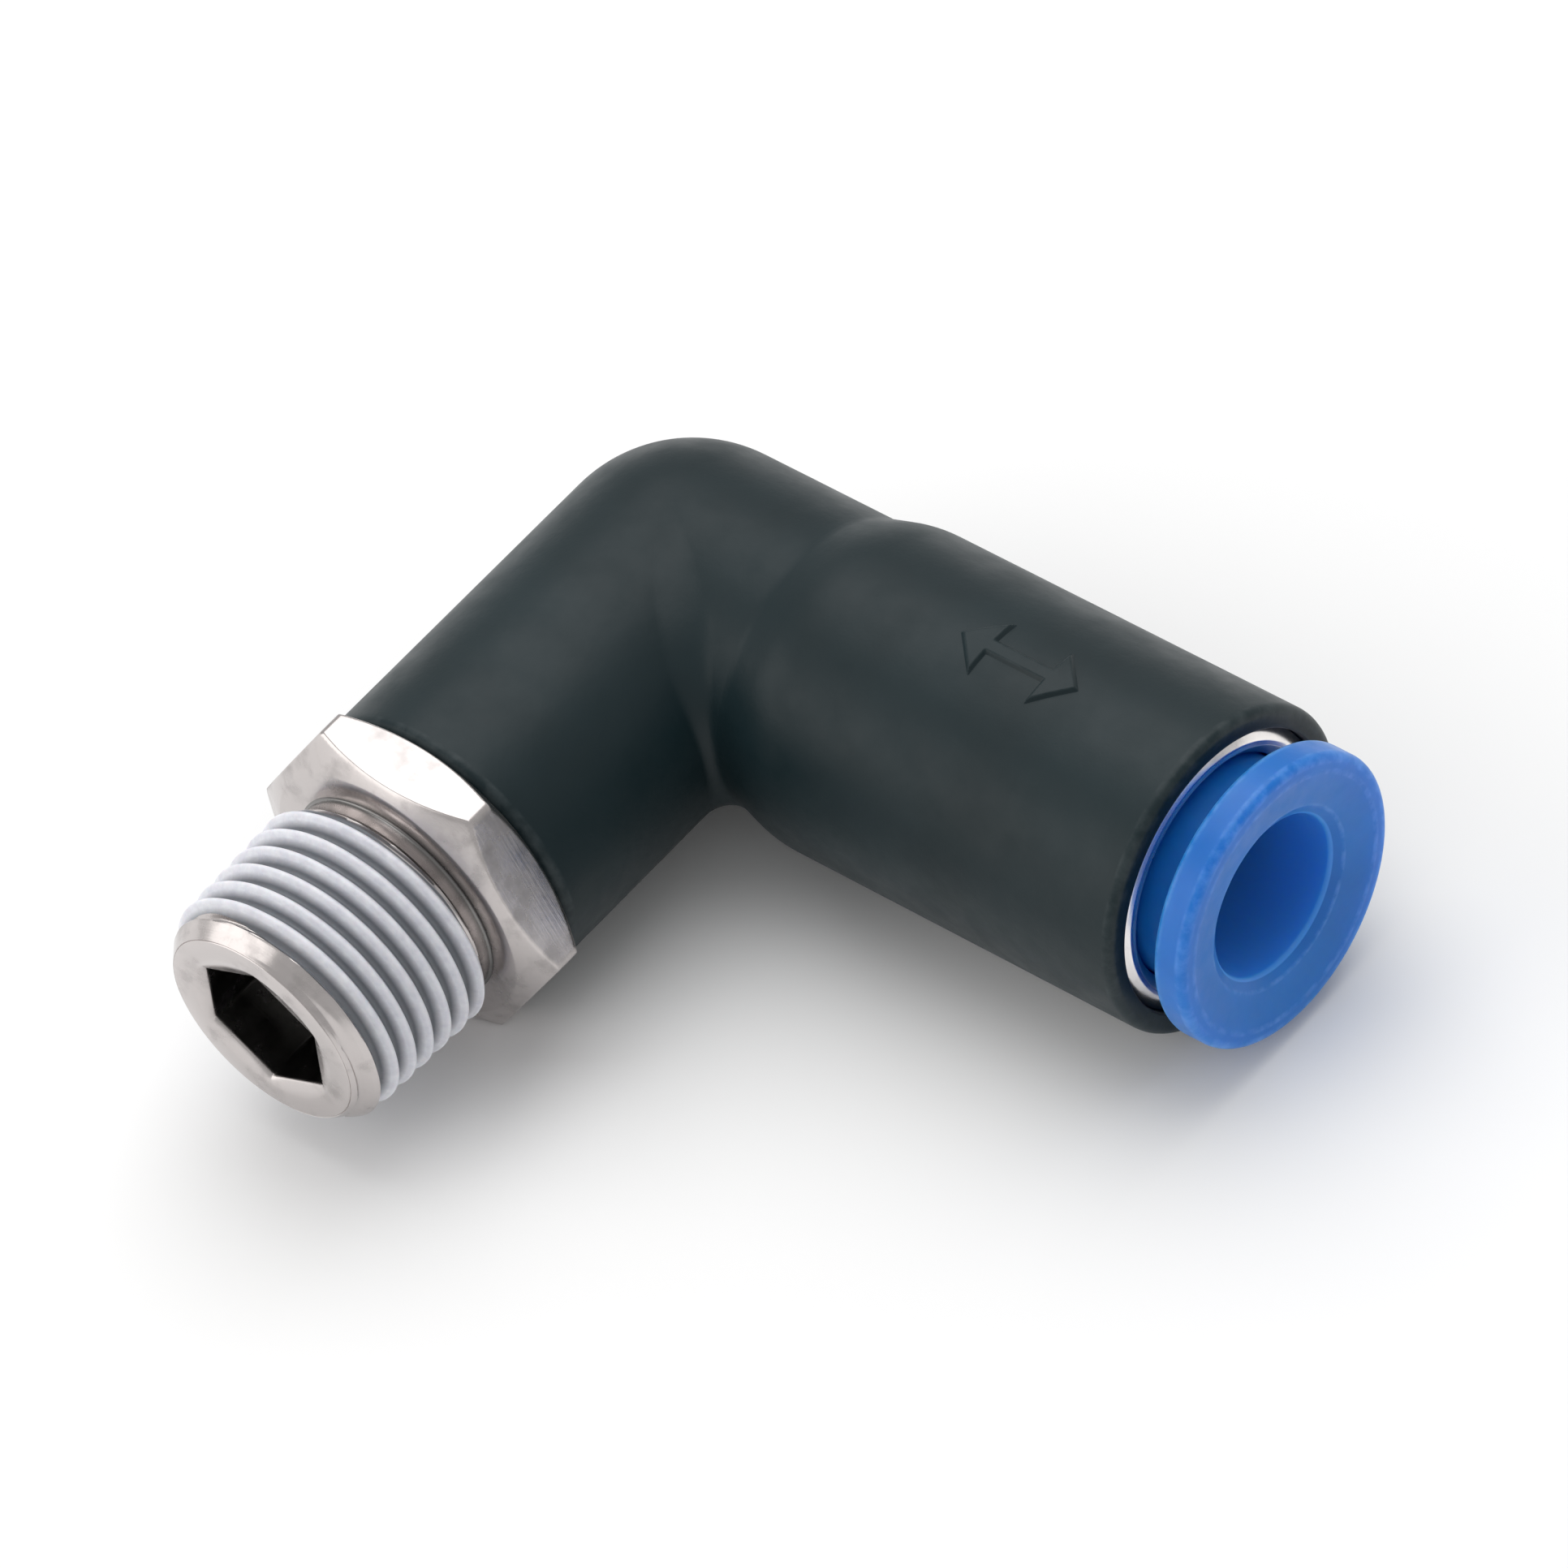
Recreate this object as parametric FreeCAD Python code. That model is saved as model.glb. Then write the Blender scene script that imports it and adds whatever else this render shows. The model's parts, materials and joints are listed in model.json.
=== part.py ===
import FreeCAD, Part
import os
from math import cos, hypot, pi, radians, sin, sqrt, tan

# Push to connect elbow: 6 mm tube to an R1/8 taper thread. Millimetres.
#
# The elbow lies flat with both legs level. The thread leg runs along Y and its thread points to -Y.
# The tube leg runs along X and its mouth points to +X. The origin is on the thread axis, in the
# plane of the hexagon's shoulder where the thread starts.
#
# Every turned outline is a list of (distance, radius) corners. The distance is measured along the
# leg, outwards from the point where the two leg axes cross.

V = FreeCAD.Vector

# Tube and standard thread
TUBE_R = 3.0
THREAD_PITCH = 0.907            # 28 threads per inch
THREAD_DEPTH = 0.581
THREAD_GAUGE_R = 4.864          # major radius in the gauge plane
THREAD_GAUGE_LENGTH = 4.0       # gauge plane to the small end
THREAD_TAPER = 1.0 / 32.0       # change of radius along the axis
THREAD_FLANK = radians(27.5)
THREAD_ROOT = 0.06              # half width of the groove's flat root
THREAD_OVERCUT = 0.12           # the groove cutter reaches this far past the crests

# Elbow body, outside
ELBOW_R = 5.75                  # thread leg, neck of the tube leg and round corner
TUBE_LEG_R = 6.25
NECK_END = 6.3                  # the tube leg flares from the neck radius here
FLARE_END = 8.1
TUBE_LEG_END = 24.6
THREAD_LEG_END = 13.8
TUBE_END_ROUND = 0.5
THREAD_END_ROUND = 0.4
MARK_MIDDLE = 16.5
MARK_HALF_LENGTH = 2.6
MARK_HALF_WIDTH = 1.3
MARK_HALF_SHAFT = 0.3
MARK_LIFT = 0.15
MARK_ROOT = 0.3                 # the mark starts this far inside the surface

# Elbow body, inside
FLOW_R = 2.2
TUBE_STOP = 10.15               # shoulder that the tube end meets
TUBE_GUIDE_R = 3.1
SEAL_SEAT = 13.5                # shoulder behind the elastic sleeve
SEAL_BORE_R = 4.95
GUIDE_SEAT = 20.3               # the bore widens here for the guide ring
GUIDE_BORE_R = 5.02
FLANGE_SEAT = 24.1              # the mouth widens again for the guide ring's flange
FLANGE_BORE_R = 5.43
SPIGOT_BORE_R = 4.1
SPIGOT_BORE_START = 5.8
SNAP_GROOVE = (10.6, 12.4)      # the stud's barb turns in this groove
SNAP_GROOVE_R = 4.55
SNAP_LIP_R = 4.15
SNAP_LEAD_IN = 0.3
PAST_END = 0.1                  # cutting outlines reach this far beyond the end faces

# Threaded stud
HEX_BACK = 13.88
HEX_SHOULDER = 16.3
HEX_FLATS = 11.8                # a 12 mm spanner size at the low end of its tolerance
HEX_TURN = 23.5                 # degrees from +Z to a corner, towards -X
HEX_BACK_R = 5.7                # radius where the rear chamfer meets the rear face
HEX_FRONT_R = 5.4               # and the front chamfer meets the shoulder
HEX_CHAMFER = radians(30.0)
RELIEF_R = 4.3
THREAD_START = 16.95
THREAD_RUN_IN = 0.5             # the first thread rises to full size over this length
RUN_IN_R = 4.4                  # from this radius
THREAD_TIP = 23.65
TIP_FACE_R = 4.05
TIP_CHAMFER = 0.85
SPIGOT_R = 4.05
SPIGOT_END = 6.1
SPIGOT_CHAMFER = 0.4
BARB_START = 10.8               # the barb's ramp, full height and back face
BARB_FULL = 12.1
BARB_BACK = 12.3
BARB_R = 4.45
RING_GROOVE = (7.3, 9.3)
RING_GROOVE_R = 2.8
RING_HALF_WIDTH = 0.85
RING_CLEARANCE = 0.03
STUD_BORE_R = 2.0
KEY_FLATS = 5.0
KEY_DEPTH = 4.4

# Thread sealant
COAT = 0.05
COAT_SPAN = (17.05, 22.75)
COAT_INSIDE_R = 3.9             # inside the thread's root; the stud is cut away from the coat

# Tube leg cartridge
SLEEVE_SPAN = (13.55, 17.6)
SLEEVE_R = 4.92
SLEEVE_CHAMFER = 0.15
SLEEVE_HOLLOW_R = 3.37          # between the two lips
LIP_R = TUBE_R - 0.08           # seal lips and claw tips reach just inside the tube
LIP_WIDTH = 0.4
BACKING_SPAN = (17.65, 20.0)
BACKING_BORE_R = TUBE_R + 0.2
BACKING_STEP = 0.4              # plain bore before the hollow for the claws
BACKING_MOUTH_R = 4.4
CLAW_RIM = (20.04, 20.29)
CLAW_RIM_R = 4.86
CLAW_ROOT_R = 4.1               # the fingers leave the rim here
CLAW_REACH = 1.05               # and lean back by this distance
CLAW_TIP = 0.1                  # chamfer of a finger's tip
CLAW_COUNT = 8
CLAW_GAP = 0.7
GUIDE_SPAN = (20.35, 24.5)
GUIDE_LIP = 23.4
GUIDE_LIP_R = 4.3
GUIDE_MOUTH_R = 4.75
GUIDE_MOUTH_DEPTH = 0.4
GUIDE_INNER_R = 4.62
GUIDE_BARBS = (21.3, 22.3)      # where the two barbs start to rise
GUIDE_BARB = 0.06
GUIDE_BARB_LENGTH = 0.4
FLANGE_R = 5.4
FLANGE_FACE_R = 4.95            # the flange's bright bevel runs down to here
FLANGE_BEVEL = 0.32

# Release ring
STEM_R = 4.22
STEM_BORE_R = 3.1
NOSE_END = 20.55
NOSE_R = 3.45                   # the nose widens from here to the stem
NOSE_LEAD_IN = 0.15
STEM_START = 22.0
SNAP_START = 22.2               # the lip behind the guide ring's own lip
HEAD_R = 5.63
HEAD_BACK = 25.95
HEAD_FACE = 27.3
HEAD_DISH = 0.3
HEAD_FLAT_R = 5.05              # the dish starts inside this radius
HEAD_FACE_ROUND = 0.45
HEAD_BACK_ROUND = 0.3
SNAP_R = 4.5
SNAP_GAP = 0.15                 # between the two lips at rest
SLOT_COUNT = 4
SLOT_WIDTH = 0.7
SLOT_END = 23.6

CENTRE = V(0, HEX_SHOULDER, 0)  # where the two leg axes cross
ALONG_THREAD = V(0, -1, 0)
ALONG_TUBE = V(1, 0, 0)
UP = V(0, 0, 1)


def turned(direction, outline):
    """Solid of revolution about a leg's axis from closed (distance, radius) corners."""
    corners = [CENTRE + direction * s + UP * r for s, r in outline]
    wire = Part.makePolygon(corners + [corners[0]])
    return Part.Face(wire).revolve(CENTRE, direction, 360)


def rod(direction, start, end, radius):
    """Plain cylinder along a leg."""
    return Part.makeCylinder(radius, end - start, CENTRE + direction * start, direction)


def round_edges(shape, direction, distance, radius, size):
    """Fillets the circular edges at one distance and radius along a leg."""
    centre = CENTRE + direction * distance
    chosen = [
        edge
        for edge in shape.Edges
        if isinstance(edge.Curve, Part.Circle)
        and abs(edge.Curve.Radius - radius) < 1e-4
        and (edge.Curve.Center - centre).Length < 1e-4
    ]
    return shape.makeFillet(size, chosen)


def cut_slots(shape, start, end, reach, width, count):
    """Cuts evenly spaced radial slots through a ring on the tube leg, out to a radius."""
    for n in range(count):
        slot = Part.makeBox(end - start, width, reach, CENTRE + V(start, -0.5 * width, 0.0))
        slot.rotate(CENTRE, ALONG_TUBE, 360.0 * (n + 0.5) / count)
        shape = shape.cut(slot)
    return shape


def hexagon(direction, start, end, flats, turn):
    """Hexagonal prism along a leg; turn is the angle in degrees from +Z to a corner."""
    reach = flats / sqrt(3.0)
    side = direction.cross(UP)
    corners = []
    for corner in range(7):
        angle = radians(turn + 60.0 * corner)
        spoke = UP * (reach * cos(angle)) + side * (reach * sin(angle))
        corners.append(CENTRE + direction * start + spoke)
    return Part.Face(Part.makePolygon(corners)).extrude(direction * (end - start))


def thread_radius(distance):
    """Major radius of the taper thread at a distance along the thread leg."""
    gauge_plane = THREAD_TIP - THREAD_GAUGE_LENGTH
    return THREAD_GAUGE_R + (gauge_plane - distance) * THREAD_TAPER


def thread_groove(narrowed):
    """Helical V groove of the taper thread; narrowed moves its root and both flanks outwards."""
    run_in = 1.5 * THREAD_PITCH
    start = THREAD_TIP + run_in
    length = THREAD_TIP - THREAD_START + 2.0 * run_in
    cone = THREAD_TAPER * 180.0 / pi
    base_r = thread_radius(start) - THREAD_DEPTH + narrowed
    above = THREAD_DEPTH + THREAD_OVERCUT
    foot = THREAD_ROOT - narrowed * (1.0 / cos(THREAD_FLANK) - tan(THREAD_FLANK))
    top = foot + above * tan(THREAD_FLANK)
    corners = [
        V(base_r, 0, -foot),
        V(base_r + above, 0, -top),
        V(base_r + above, 0, top),
        V(base_r, 0, foot),
    ]
    profile = Part.makePolygon(corners + [corners[0]])
    path = Part.makeLongHelix(THREAD_PITCH, length, base_r, cone)
    groove = Part.Wire(path.Edges).makePipeShell([profile], True, True)
    groove.rotate(V(0, 0, 0), V(1, 0, 0), -90)
    groove.translate(CENTRE + ALONG_THREAD * start)
    return groove


def chamfer_ball(face, face_r, inwards):
    """Ball that trims the hexagon's corners, starting at face_r on an end face."""
    corner_r = HEX_FLATS / sqrt(3.0)
    drop = (corner_r - face_r) * tan(HEX_CHAMFER)
    depth = (drop ** 2 + corner_r ** 2 - face_r ** 2) / (2.0 * drop)
    centre = CENTRE + ALONG_THREAD * (face + inwards * depth)
    return Part.makeSphere(hypot(depth, face_r), centre)


def arrow_mark():
    """Raised double arrow on the tube leg, a plain sign for the flow axis."""
    half, head, shaft = MARK_HALF_LENGTH, MARK_HALF_WIDTH, MARK_HALF_SHAFT
    corners = [
        (-half, 0.0), (-half + head, head), (-half + head, shaft), (half - head, shaft),
        (half - head, head), (half, 0.0), (half - head, -head), (half - head, -shaft),
        (-half + head, -shaft), (-half + head, -head),
    ]
    points = [CENTRE + V(MARK_MIDDLE + x, y, 0.0) for x, y in corners]
    face = Part.Face(Part.makePolygon(points + [points[0]]))
    prism = face.extrude(UP * (2.0 * TUBE_LEG_R))
    mark = prism.common(rod(ALONG_TUBE, FLARE_END, TUBE_LEG_END, TUBE_LEG_R + MARK_LIFT))
    return mark.cut(rod(ALONG_TUBE, FLARE_END, TUBE_LEG_END, TUBE_LEG_R - MARK_ROOT))


def elbow_body():
    """Moulded body: two round legs with a ball corner, the bores of both legs and the raised mark."""
    tube_mouth = TUBE_LEG_END + PAST_END
    thread_mouth = THREAD_LEG_END + PAST_END
    thread_leg = rod(ALONG_THREAD, 0.0, THREAD_LEG_END, ELBOW_R)
    thread_leg = round_edges(thread_leg, ALONG_THREAD, THREAD_LEG_END, ELBOW_R, THREAD_END_ROUND)
    tube_leg = turned(ALONG_TUBE, [
        (0.0, 0.0), (0.0, ELBOW_R), (NECK_END, ELBOW_R), (FLARE_END, TUBE_LEG_R),
        (TUBE_LEG_END, TUBE_LEG_R), (TUBE_LEG_END, 0.0),
    ])
    tube_leg = round_edges(tube_leg, ALONG_TUBE, TUBE_LEG_END, TUBE_LEG_R, TUBE_END_ROUND)
    corner = Part.makeSphere(ELBOW_R, CENTRE)
    outside = corner.fuse([thread_leg, tube_leg]).removeSplitter()
    outside = outside.fuse(arrow_mark())
    tube_way = turned(ALONG_TUBE, [
        (0.0, 0.0), (0.0, FLOW_R), (TUBE_STOP, FLOW_R), (TUBE_STOP, TUBE_GUIDE_R),
        (SEAL_SEAT, TUBE_GUIDE_R), (SEAL_SEAT, SEAL_BORE_R), (GUIDE_SEAT, SEAL_BORE_R),
        (GUIDE_SEAT, GUIDE_BORE_R), (FLANGE_SEAT, GUIDE_BORE_R), (FLANGE_SEAT, FLANGE_BORE_R),
        (tube_mouth, FLANGE_BORE_R), (tube_mouth, 0.0),
    ])
    thread_way = turned(ALONG_THREAD, [
        (0.0, 0.0), (0.0, FLOW_R), (SPIGOT_BORE_START, FLOW_R),
        (SPIGOT_BORE_START, SPIGOT_BORE_R), (SNAP_GROOVE[0], SPIGOT_BORE_R),
        (SNAP_GROOVE[0], SNAP_GROOVE_R), (SNAP_GROOVE[1], SNAP_GROOVE_R),
        (SNAP_GROOVE[1], SNAP_LIP_R), (THREAD_LEG_END - SNAP_LEAD_IN, SNAP_LIP_R),
        (thread_mouth, SNAP_LIP_R + SNAP_LEAD_IN + PAST_END), (thread_mouth, 0.0),
    ])
    turn = Part.makeSphere(FLOW_R, CENTRE)
    return outside.cut([tube_way, thread_way, turn])


def stud_blank():
    """The stud with a plain tapered end in place of its thread."""
    run_in_end = THREAD_START + THREAD_RUN_IN
    turned_part = turned(ALONG_THREAD, [
        (SPIGOT_END, STUD_BORE_R), (SPIGOT_END, SPIGOT_R - SPIGOT_CHAMFER),
        (SPIGOT_END + SPIGOT_CHAMFER, SPIGOT_R),
        (RING_GROOVE[0], SPIGOT_R), (RING_GROOVE[0], RING_GROOVE_R),
        (RING_GROOVE[1], RING_GROOVE_R), (RING_GROOVE[1], SPIGOT_R),
        (BARB_START, SPIGOT_R), (BARB_FULL, BARB_R), (BARB_BACK, BARB_R), (BARB_BACK, SPIGOT_R),
        (HEX_BACK, SPIGOT_R), (HEX_BACK, RELIEF_R), (THREAD_START, RELIEF_R),
        (THREAD_START, RUN_IN_R), (run_in_end, thread_radius(run_in_end)),
        (THREAD_TIP - TIP_CHAMFER, thread_radius(THREAD_TIP - TIP_CHAMFER)),
        (THREAD_TIP, TIP_FACE_R), (THREAD_TIP, STUD_BORE_R),
    ])
    nut = hexagon(ALONG_THREAD, HEX_BACK, HEX_SHOULDER, HEX_FLATS, HEX_TURN)
    nut = nut.cut(rod(ALONG_THREAD, HEX_BACK, HEX_SHOULDER, STUD_BORE_R))
    nut = nut.common(chamfer_ball(HEX_BACK, HEX_BACK_R, 1.0))
    nut = nut.common(chamfer_ball(HEX_SHOULDER, HEX_FRONT_R, -1.0))
    return turned_part.fuse(nut).removeSplitter()


def threaded_stud():
    """Plated stud: swivel spigot with its O-ring groove and barb, hexagon, thread and key socket."""
    stud = stud_blank().cut(thread_groove(0.0))
    key_turn = HEX_TURN + 30.0
    key = hexagon(ALONG_THREAD, THREAD_TIP - KEY_DEPTH, THREAD_TIP + PAST_END, KEY_FLATS, key_turn)
    return stud.cut(key)


def thread_sealant(stud):
    """Dry coat over the thread: the same thread grown outwards, less the stud."""
    start, end = COAT_SPAN
    run_in_end = THREAD_START + THREAD_RUN_IN
    rise = (thread_radius(run_in_end) - RUN_IN_R) / THREAD_RUN_IN
    coat = turned(ALONG_THREAD, [
        (start, COAT_INSIDE_R), (start, RUN_IN_R + (start - THREAD_START) * rise + COAT),
        (run_in_end, thread_radius(run_in_end) + COAT), (end, thread_radius(end) + COAT),
        (end, COAT_INSIDE_R),
    ])
    return coat.cut(thread_groove(COAT)).cut(stud)


def swivel_o_ring():
    """O-ring squeezed between the groove in the spigot and the bore of the elbow."""
    middle = 0.5 * (RING_GROOVE[0] + RING_GROOVE[1])
    outer = SPIGOT_BORE_R - RING_CLEARANCE
    ring_r = 0.5 * (RING_GROOVE_R + outer)
    ellipse = Part.Ellipse(
        CENTRE + ALONG_THREAD * (middle + RING_HALF_WIDTH) + UP * ring_r,
        CENTRE + ALONG_THREAD * middle + UP * (ring_r + 0.5 * (outer - RING_GROOVE_R)),
        CENTRE + ALONG_THREAD * middle + UP * ring_r,
    )
    face = Part.Face(Part.Wire(ellipse.toShape()))
    return face.revolve(CENTRE, ALONG_THREAD, 360)


def elastic_sleeve():
    """Rubber sleeve with two lips that seal on the tube."""
    start, end = SLEEVE_SPAN
    edge_r = SLEEVE_R - SLEEVE_CHAMFER
    near_lip, far_lip = start + 0.45, end - 0.95
    return turned(ALONG_TUBE, [
        (start, edge_r), (start + SLEEVE_CHAMFER, SLEEVE_R), (end - SLEEVE_CHAMFER, SLEEVE_R),
        (end, edge_r), (end, SLEEVE_HOLLOW_R + 0.3), (far_lip + LIP_WIDTH, LIP_R),
        (far_lip, LIP_R), (far_lip - 0.55, SLEEVE_HOLLOW_R), (near_lip + 0.9, SLEEVE_HOLLOW_R),
        (near_lip + LIP_WIDTH, LIP_R), (near_lip, LIP_R), (start, SLEEVE_HOLLOW_R),
    ])


def backing_ring():
    """Spacer that holds the sleeve and gives the claws a hollow to bend into."""
    start, end = BACKING_SPAN
    return turned(ALONG_TUBE, [
        (start, BACKING_BORE_R), (start, SLEEVE_R), (end, SLEEVE_R), (end, BACKING_MOUTH_R),
        (start + BACKING_STEP, BACKING_BORE_R),
    ])


def lock_claws():
    """Spring steel ring whose fingers lean inwards and grip the tube."""
    back, front = CLAW_RIM
    tip_r = LIP_R + CLAW_TIP
    blank = turned(ALONG_TUBE, [
        (back, CLAW_RIM_R), (front, CLAW_RIM_R), (front, CLAW_ROOT_R), (front - CLAW_REACH, tip_r),
        (front - CLAW_REACH - CLAW_TIP, LIP_R), (back - CLAW_REACH, tip_r), (back, CLAW_ROOT_R + 0.05),
    ])
    slot_start = back - CLAW_REACH - PAST_END
    return cut_slots(blank, slot_start, front + PAST_END, CLAW_ROOT_R + 0.1, CLAW_GAP, CLAW_COUNT)


def guide_ring():
    """Plated metal sleeve pressed into the mouth; its lip guides and keeps the release ring."""
    start, end = GUIDE_SPAN
    barbs = []
    for rise in GUIDE_BARBS:
        back = rise + GUIDE_BARB_LENGTH
        barbs += [(rise, GUIDE_BORE_R), (back, GUIDE_BORE_R + GUIDE_BARB), (back, GUIDE_BORE_R)]
    return turned(ALONG_TUBE, [
        (start, GUIDE_INNER_R), (start, GUIDE_BORE_R), *barbs, (FLANGE_SEAT, GUIDE_BORE_R),
        (FLANGE_SEAT, FLANGE_R), (end - FLANGE_BEVEL, FLANGE_R), (end, FLANGE_FACE_R),
        (end, GUIDE_MOUTH_R), (end - GUIDE_MOUTH_DEPTH, GUIDE_LIP_R), (GUIDE_LIP, GUIDE_LIP_R),
        (GUIDE_LIP, GUIDE_INNER_R),
    ])


def release_ring():
    """Ring that is pushed in to open the claws: nose, slotted snap lip, stem and dished head."""
    snap_end = GUIDE_LIP - SNAP_GAP
    dish = HEAD_FACE - HEAD_DISH
    blank = turned(ALONG_TUBE, [
        (NOSE_END, STEM_BORE_R + NOSE_LEAD_IN), (NOSE_END, NOSE_R), (STEM_START, STEM_R),
        (SNAP_START, SNAP_R), (snap_end, SNAP_R), (snap_end, STEM_R), (HEAD_BACK, STEM_R),
        (HEAD_BACK, HEAD_R), (HEAD_FACE, HEAD_R), (HEAD_FACE, HEAD_FLAT_R),
        (dish, STEM_BORE_R + 0.45), (dish - 0.5, STEM_BORE_R),
        (NOSE_END + NOSE_LEAD_IN, STEM_BORE_R),
    ])
    blank = round_edges(blank, ALONG_TUBE, HEAD_FACE, HEAD_R, HEAD_FACE_ROUND)
    blank = round_edges(blank, ALONG_TUBE, HEAD_BACK, HEAD_R, HEAD_BACK_ROUND)
    return cut_slots(blank, NOSE_END - PAST_END, SLOT_END, SNAP_R + PAST_END, SLOT_WIDTH, SLOT_COUNT)


def main():
    os.makedirs("parts", exist_ok=True)
    stud = threaded_stud()
    parts = {
        "elbow_body": elbow_body(),
        "threaded_stud": stud,
        "thread_sealant": thread_sealant(stud),
        "swivel_o_ring": swivel_o_ring(),
        "elastic_sleeve": elastic_sleeve(),
        "backing_ring": backing_ring(),
        "lock_claws": lock_claws(),
        "guide_ring": guide_ring(),
        "release_ring": release_ring(),
    }
    for name, shape in parts.items():
        print(name, shape.isValid(), len(shape.Solids), round(shape.Volume, 3))
        shape.exportStep("parts/" + name + ".step")


main()
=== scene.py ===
import json
import math

import bmesh
import bpy
import numpy as np
from mathutils import Matrix, Vector


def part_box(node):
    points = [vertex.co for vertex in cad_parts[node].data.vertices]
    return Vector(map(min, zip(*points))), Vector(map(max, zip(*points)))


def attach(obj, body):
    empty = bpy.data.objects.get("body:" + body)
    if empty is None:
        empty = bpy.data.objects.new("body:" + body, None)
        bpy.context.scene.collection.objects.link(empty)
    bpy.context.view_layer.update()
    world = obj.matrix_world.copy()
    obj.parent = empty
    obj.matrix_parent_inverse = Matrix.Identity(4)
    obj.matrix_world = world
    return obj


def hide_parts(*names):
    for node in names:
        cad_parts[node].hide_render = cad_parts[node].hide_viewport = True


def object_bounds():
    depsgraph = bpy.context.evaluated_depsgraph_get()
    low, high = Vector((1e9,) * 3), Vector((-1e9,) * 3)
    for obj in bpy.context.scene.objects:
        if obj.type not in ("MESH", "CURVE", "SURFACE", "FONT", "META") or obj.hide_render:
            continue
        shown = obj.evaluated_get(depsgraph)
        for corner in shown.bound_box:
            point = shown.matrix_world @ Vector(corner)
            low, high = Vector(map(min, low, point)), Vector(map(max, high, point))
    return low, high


# Looks for the push to connect elbow. Meshes are worked out in millimetres and stored in metres.
# Distances are measured along a leg, outwards from the point where the two leg axes cross.

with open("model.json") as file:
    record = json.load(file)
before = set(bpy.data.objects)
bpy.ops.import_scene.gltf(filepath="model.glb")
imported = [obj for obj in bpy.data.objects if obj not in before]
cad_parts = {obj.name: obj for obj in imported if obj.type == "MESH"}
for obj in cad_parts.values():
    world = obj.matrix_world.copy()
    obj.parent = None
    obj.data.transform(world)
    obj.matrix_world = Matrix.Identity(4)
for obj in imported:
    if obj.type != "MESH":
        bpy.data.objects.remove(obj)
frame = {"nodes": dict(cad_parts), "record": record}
cad_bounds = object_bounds()

MM = 0.001
MOUNTS = {m["name"]: m for m in frame["record"]["mounts"]}
CROSS = np.array([0.0, MOUNTS["tube_socket"]["pos_m"][1], 0.0]) / MM
THREAD_WAY = np.array([0.0, -1.0, 0.0])
TUBE_WAY = np.array([1.0, 0.0, 0.0])
UP = np.array([0.0, 0.0, 1.0])
SEED = 11


def span(node, way):
    """Nearest and farthest distance of a CAD node along a leg, in millimetres."""
    low, high = (np.array(corner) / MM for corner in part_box(node))
    reach = sorted([(low - CROSS) @ way, (high - CROSS) @ way])
    return reach[0], reach[1]


def half_width(node, axis):
    """Half of a CAD node's size along X, Y or Z (0, 1 or 2), in millimetres."""
    low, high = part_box(node)
    return 0.5 * (high[axis] - low[axis]) / MM


# Sizes read from the frame
THREAD_LEG_END = span("elbow_body", THREAD_WAY)[1]
TUBE_LEG_END = span("elbow_body", TUBE_WAY)[1]
ELBOW_R = -span("elbow_body", TUBE_WAY)[0]
TUBE_LEG_R = span("elbow_body", -THREAD_WAY)[1]
SPIGOT_END, THREAD_TIP = span("threaded_stud", THREAD_WAY)
HEX_SHOULDER = CROSS[1]
COAT_START, COAT_END = span("thread_sealant", THREAD_WAY)
GUIDE_START, GUIDE_END = span("guide_ring", TUBE_WAY)
NOSE_END, HEAD_FACE = span("release_ring", TUBE_WAY)
HEAD_R = half_width("release_ring", 2)
TUBE_BORE_R = MOUNTS["tube_socket"]["dims"]["r_mm"]

# Elbow body, outside; the frame's boxes don't show these sizes or the ones below
NECK_END, FLARE_END = 6.3, 8.1
NECK_ROUND, FLARE_ROUND = 1.6, 5.0
CREASE_R, CREASE_FULLER = 0.42, 4.5
CORNER_THREAD_END, CORNER_TUBE_END = 7.2, 6.18      # the round corner's skin ends here on each leg
TUBE_END_ROUND, THREAD_END_ROUND = 0.5, 0.4
MARK_MIDDLE, MARK_HALF_LENGTH, MARK_HALF_WIDTH = 16.5, 2.6, 1.3
MARK_HALF_SHAFT, MARK_LIFT = 0.3, 0.15

# Elbow body, inside
FLOW_R, FLOW_CORNER_END, FLOW_CREASE_R = 2.2, 5.0, 0.3
TUBE_STOP, SEAL_SEAT, GUIDE_SEAT = 10.15, 13.5, 20.3
SEAL_BORE_R, GUIDE_BORE_R = 4.95, 5.02
FLANGE_SEAT, FLANGE_BORE_R = 24.1, 5.43
SPIGOT_BORE_R, SPIGOT_BORE_START = 4.1, 5.8
SNAP_GROOVE, SNAP_GROOVE_R, SNAP_LIP_R = (10.6, 12.4), 4.55, 4.15
SNAP_LEAD_IN, LEAD_IN_R = 0.3, 4.5

# Stud
SPIGOT_R, SPIGOT_LEAD_IN, STUD_BORE_R = 4.05, 0.4, 2.0
RING_GROOVE, RING_GROOVE_R = (7.3, 9.3), 2.8
BARB_START, BARB_R = SNAP_GROOVE[0] + 0.2, 4.45
BARB_TOP = (SNAP_GROOVE[1] - 0.3, SNAP_GROOVE[1] - 0.1)
HEX_BACK, HEX_FLATS, HEX_BACK_R, HEX_FRONT_R = 13.88, 11.8, 5.7, 5.4
HEX_TURN, HEX_CHAMFER = math.radians(23.5), math.radians(30.0)
RELIEF_R, RELIEF_FILLET = 4.3, 0.12
PITCH, THREAD_START, THREAD_DEPTH, THREAD_TAPER = 0.907, 16.95, 0.581, 1.0 / 32.0
GAUGE_R, GAUGE_LENGTH = 4.864, 4.0
TIP_FACE_R, TIP_CHAMFER, TIP_ROUND = 4.05, 0.85, 0.06
KEY_FLATS, KEY_DEPTH = 5.0, 4.4

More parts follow.
